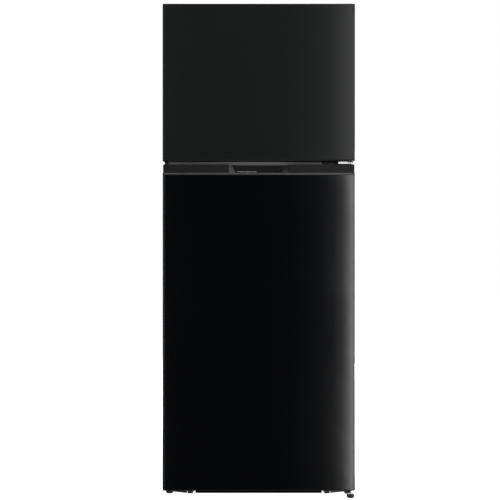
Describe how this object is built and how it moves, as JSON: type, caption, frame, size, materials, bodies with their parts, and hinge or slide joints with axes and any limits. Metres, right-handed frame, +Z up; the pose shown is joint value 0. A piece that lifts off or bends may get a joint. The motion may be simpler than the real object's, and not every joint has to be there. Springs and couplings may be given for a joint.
{
  "type": "top freezer refrigerator",
  "caption": "Free-standing top freezer refrigerator: black steel doors hinged on the right, a recessed pull along the fridge door's top, glass shelves, crispers and door bins.",
  "frame": {"origin": "on the floor, under the middle of the object's bounding box", "axes": "+X to the right seen from in front, the doors face -Y, +Z up"},
  "size_m": [0.595, 0.64, 1.541],
  "materials": {
    "charcoal_steel": "satin charcoal painted steel",
    "black_steel": "smooth black painted steel",
    "black_plastic": "satin black moulded plastic",
    "foam": null,
    "white_abs": "vacuum-formed white sheet",
    "white_plastic": "moulded white plastic",
    "grey_plastic": "moulded grey plastic",
    "clear_plastic": "clear moulded plastic",
    "shelf_glass": "tempered glass",
    "gasket": "soft dark grey vinyl",
    "crossrail_paint": "grey painted steel",
    "galvanised": "galvanised sheet",
    "zinc": "bright zinc plated steel",
    "dark_steel": "black painted steel",
    "foot_plastic": "dark grey moulded plastic",
    "aluminium": "bare tube",
    "copper": "bare copper tube"
  },
  "bodies": {
    "cabinet": {"cabinet_shell": "black_steel", "cabinet_foam": "foam", "back_panel": "galvanised", "base_pan": "galvanised", "freezer_liner": "white_abs", "fridge_liner": "white_abs", "crossrail": "crossrail_paint", "top_hinge_bracket": "zinc", "middle_hinge_bracket": "zinc", "bottom_hinge_bracket": "dark_steel", "top_hinge_pin": "dark_steel", "middle_hinge_pin": "dark_steel", "bottom_hinge_pin": "zinc", "top_hinge_cover": "black_plastic", "left_foot_bracket": "dark_steel", "front_kick_rail": "black_plastic", "compressor_plate": "galvanised", "compressor": "dark_steel", "relay_box": "black_plastic", "suction_pipe": "copper", "discharge_pipe": "copper", "drip_tray": "white_plastic", "evaporator_coil": "aluminium", "evaporator_cover": "white_plastic", "fan_motor": "grey_plastic", "freezer_shelf": "shelf_glass", "upper_shelf": "shelf_glass", "lower_shelf": "shelf_glass", "crisper_cover": "shelf_glass", "control_housing": "white_plastic", "lamp_lens": "clear_plastic", "air_duct": "white_plastic"},
    "freezer_door": {"freezer_door_skin": "charcoal_steel", "freezer_door_foam": "foam", "freezer_door_inner_panel": "white_abs", "freezer_door_top_cap": "black_plastic", "freezer_door_bottom_cap": "black_plastic", "freezer_door_gasket": "gasket", "freezer_bin_upper": "clear_plastic", "freezer_bin_lower": "clear_plastic"},
    "fridge_door": {"fridge_door_skin": "black_steel", "fridge_door_foam": "foam", "fridge_door_inner_panel": "white_abs", "fridge_door_top_cap": "black_plastic", "fridge_door_bottom_cap": "black_plastic", "fridge_door_gasket": "gasket", "fridge_bin_upper": "clear_plastic", "fridge_bin_middle": "clear_plastic", "fridge_bin_lower": "clear_plastic"},
    "left_crisper": {"crisper_left": "clear_plastic"},
    "right_crisper": {"crisper_right": "clear_plastic"},
    "dial": {"thermostat_dial": "white_plastic"},
    "slider": {"freezer_slider": "grey_plastic"},
    "fan": {"fan_blades": "grey_plastic"},
    "left_front_roller": {"front_roller_left": "foot_plastic"},
    "right_front_roller": {"front_roller_right": "foot_plastic"},
    "left_rear_roller": {"rear_roller_left": "foot_plastic"},
    "right_rear_roller": {"rear_roller_right": "foot_plastic"},
    "left_foot": {"front_foot_left": "foot_plastic"},
    "right_foot": {"front_foot_right": "foot_plastic"}
  },
  "joints": [
    {"name": "freezer_door_hinge", "type": "hinge", "parent": "cabinet", "child": "freezer_door", "pos_m": [0.281, -0.295, 1.037], "axis": [0, 0, 1], "range_deg": [0, 135]},
    {"name": "fridge_door_hinge", "type": "hinge", "parent": "cabinet", "child": "fridge_door", "pos_m": [0.281, -0.295, 0.024], "axis": [0, 0, 1], "range_deg": [0, 135]},
    {"name": "left_crisper_slide", "type": "slide", "parent": "cabinet", "child": "left_crisper", "axis": [0, -1, 0], "range_m": [0, 0.26]},
    {"name": "right_crisper_slide", "type": "slide", "parent": "cabinet", "child": "right_crisper", "axis": [0, -1, 0], "range_m": [0, 0.26]},
    {"name": "thermostat_dial_turn", "type": "hinge", "parent": "cabinet", "child": "dial", "pos_m": [0.05, -0.08, 0.9877], "axis": [0, -1, 0], "range_deg": [-135, 135]},
    {"name": "freezer_slider_travel", "type": "slide", "parent": "cabinet", "child": "slider", "axis": [1, 0, 0], "range_m": [-0.028, 0.028]},
    {"name": "evaporator_fan_spin", "type": "hinge", "parent": "cabinet", "child": "fan", "pos_m": [0, 0.231, 1.385], "axis": [0, 1, 0], "continuous": true},
    {"name": "left_front_roller_spin", "type": "hinge", "parent": "cabinet", "child": "left_front_roller", "pos_m": [-0.215, -0.256, 0.013], "axis": [1, 0, 0], "continuous": true},
    {"name": "right_front_roller_spin", "type": "hinge", "parent": "cabinet", "child": "right_front_roller", "pos_m": [0.215, -0.256, 0.013], "axis": [1, 0, 0], "continuous": true},
    {"name": "left_rear_roller_spin", "type": "hinge", "parent": "cabinet", "child": "left_rear_roller", "pos_m": [-0.258, 0.286, 0.013], "axis": [1, 0, 0], "continuous": true},
    {"name": "right_rear_roller_spin", "type": "hinge", "parent": "cabinet", "child": "right_rear_roller", "pos_m": [0.258, 0.286, 0.013], "axis": [1, 0, 0], "continuous": true},
    {"name": "left_foot_turn", "type": "hinge", "parent": "cabinet", "child": "left_foot", "pos_m": [-0.281, -0.248, 0], "axis": [0, 0, 1], "continuous": true},
    {"name": "right_foot_turn", "type": "hinge", "parent": "cabinet", "child": "right_foot", "pos_m": [0.2845, -0.307, 0], "axis": [0, 0, 1], "continuous": true}
  ],
  "couplings": [
    {"joint": "left_crisper_slide", "follows": "fridge_door_hinge", "m_per_rad": 0.11035},
    {"joint": "right_crisper_slide", "follows": "fridge_door_hinge", "m_per_rad": 0.11035}
  ]
}
